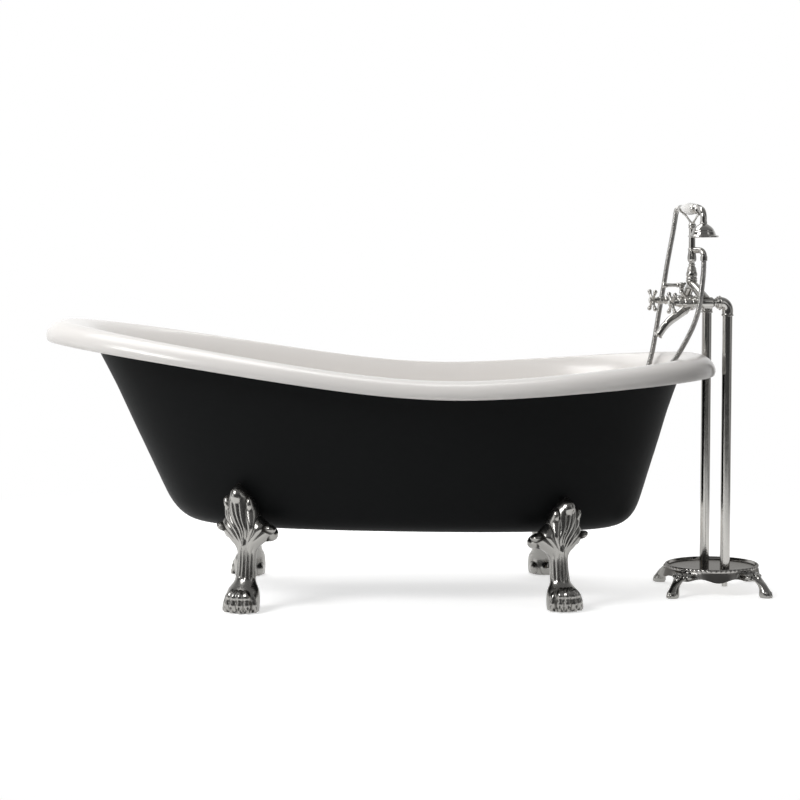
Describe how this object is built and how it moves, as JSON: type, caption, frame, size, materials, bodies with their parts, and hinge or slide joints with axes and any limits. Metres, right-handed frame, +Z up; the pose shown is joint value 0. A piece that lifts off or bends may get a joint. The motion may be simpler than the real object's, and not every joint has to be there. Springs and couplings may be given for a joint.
{
  "type": "clawfoot bathtub",
  "caption": "Slipper bathtub with a rolled rim on claw feet, with a matching floor-standing bath and shower mixer on a footed dish.",
  "frame": {"origin": "on the floor, under the middle of the whole set's box", "axes": "+X along the bath to its low foot end and the mixer, -Y to the viewer, +Z up"},
  "size_m": [1.8385, 0.75, 0.997],
  "materials": {
    "white_enamel": "high gloss white acrylic",
    "black_satin": "satin black acrylic",
    "nickel": "polished nickel plate",
    "porcelain": "glazed white",
    "plywood": "sealed board",
    "zinc_steel": "zinc plated",
    "raw_brass": "plain brass",
    "black_rubber": "matte",
    "clear_rubber": "soft floor pad"
  },
  "bodies": {
    "bath_set": {"basin": "white_enamel", "outer_skin": "black_satin", "base_board": "plywood", "claw_foot_head_near": "nickel", "claw_foot_head_far": "nickel", "claw_foot_tail_near": "nickel", "claw_foot_tail_far": "nickel", "foot_studs": "zinc_steel", "foot_washers": "zinc_steel", "foot_nuts": "zinc_steel", "floor_pads": "clear_rubber", "waste_flange": "nickel", "waste_seal": "black_rubber", "waste_backnut": "raw_brass", "waste_collar": "raw_brass", "waste_tailpipe": "raw_brass", "stand_dish": "nickel", "stand_foot_left_near": "nickel", "stand_foot_left_far": "nickel", "stand_foot_right_near": "nickel", "stand_foot_right_far": "nickel", "riser_far": "nickel", "riser_near": "nickel", "elbow_far": "nickel", "elbow_near": "nickel", "union_nut_far": "nickel", "union_nut_near": "nickel", "mixer_body": "nickel", "bonnet_far": "nickel", "bonnet_near": "nickel", "spout_nut": "nickel", "spout": "nickel", "spout_lip": "nickel", "diverter_body": "nickel", "diverter_rings": "nickel", "column_vase": "nickel", "column_cap": "nickel", "column_stem": "nickel", "cradle": "nickel", "hose_outlet": "nickel", "hose_nut_outlet": "nickel", "shower_hose": "nickel", "riser_backnuts": "raw_brass"},
    "cross_handle_far": {"cross_handle_far": "nickel", "index_button_far": "porcelain"},
    "cross_handle_near": {"cross_handle_near": "nickel", "index_button_near": "porcelain"},
    "diverter_lever": {"diverter_lever": "nickel"},
    "waste_plug": {"waste_plug": "nickel"},
    "handset": {"handset_grip": "porcelain", "handset_tail_nut": "nickel", "handset_collar": "nickel", "handset_neck": "nickel", "handset_bell": "nickel", "rose_face": "nickel", "hose_nut_handset": "nickel"}
  },
  "joints": [
    {"name": "far_tap_turn", "type": "hinge", "parent": "bath_set", "child": "cross_handle_far", "pos_m": [0.6389, 0.07868, 0.745], "axis": [-0.9781, -0.2079, 0], "range_deg": [0, 90]},
    {"name": "near_tap_turn", "type": "hinge", "parent": "bath_set", "child": "cross_handle_near", "pos_m": [0.67009, -0.06804, 0.745], "axis": [-0.9781, -0.2079, 0], "range_deg": [-90, 0]},
    {"name": "diverter_swing", "type": "hinge", "parent": "bath_set", "child": "diverter_lever", "pos_m": [0.69754, 0.01447, 0.787], "axis": [0, 0, 1], "range_deg": [-40, 40]},
    {"name": "plug_lift", "type": "slide", "parent": "bath_set", "child": "waste_plug", "axis": [0, 0, 1], "range_m": [0, 0.008]},
    {"name": "handset_lift", "type": "slide", "parent": "bath_set", "child": "handset", "axis": [0, 0, 1], "range_m": [0, 0.04]}
  ]
}
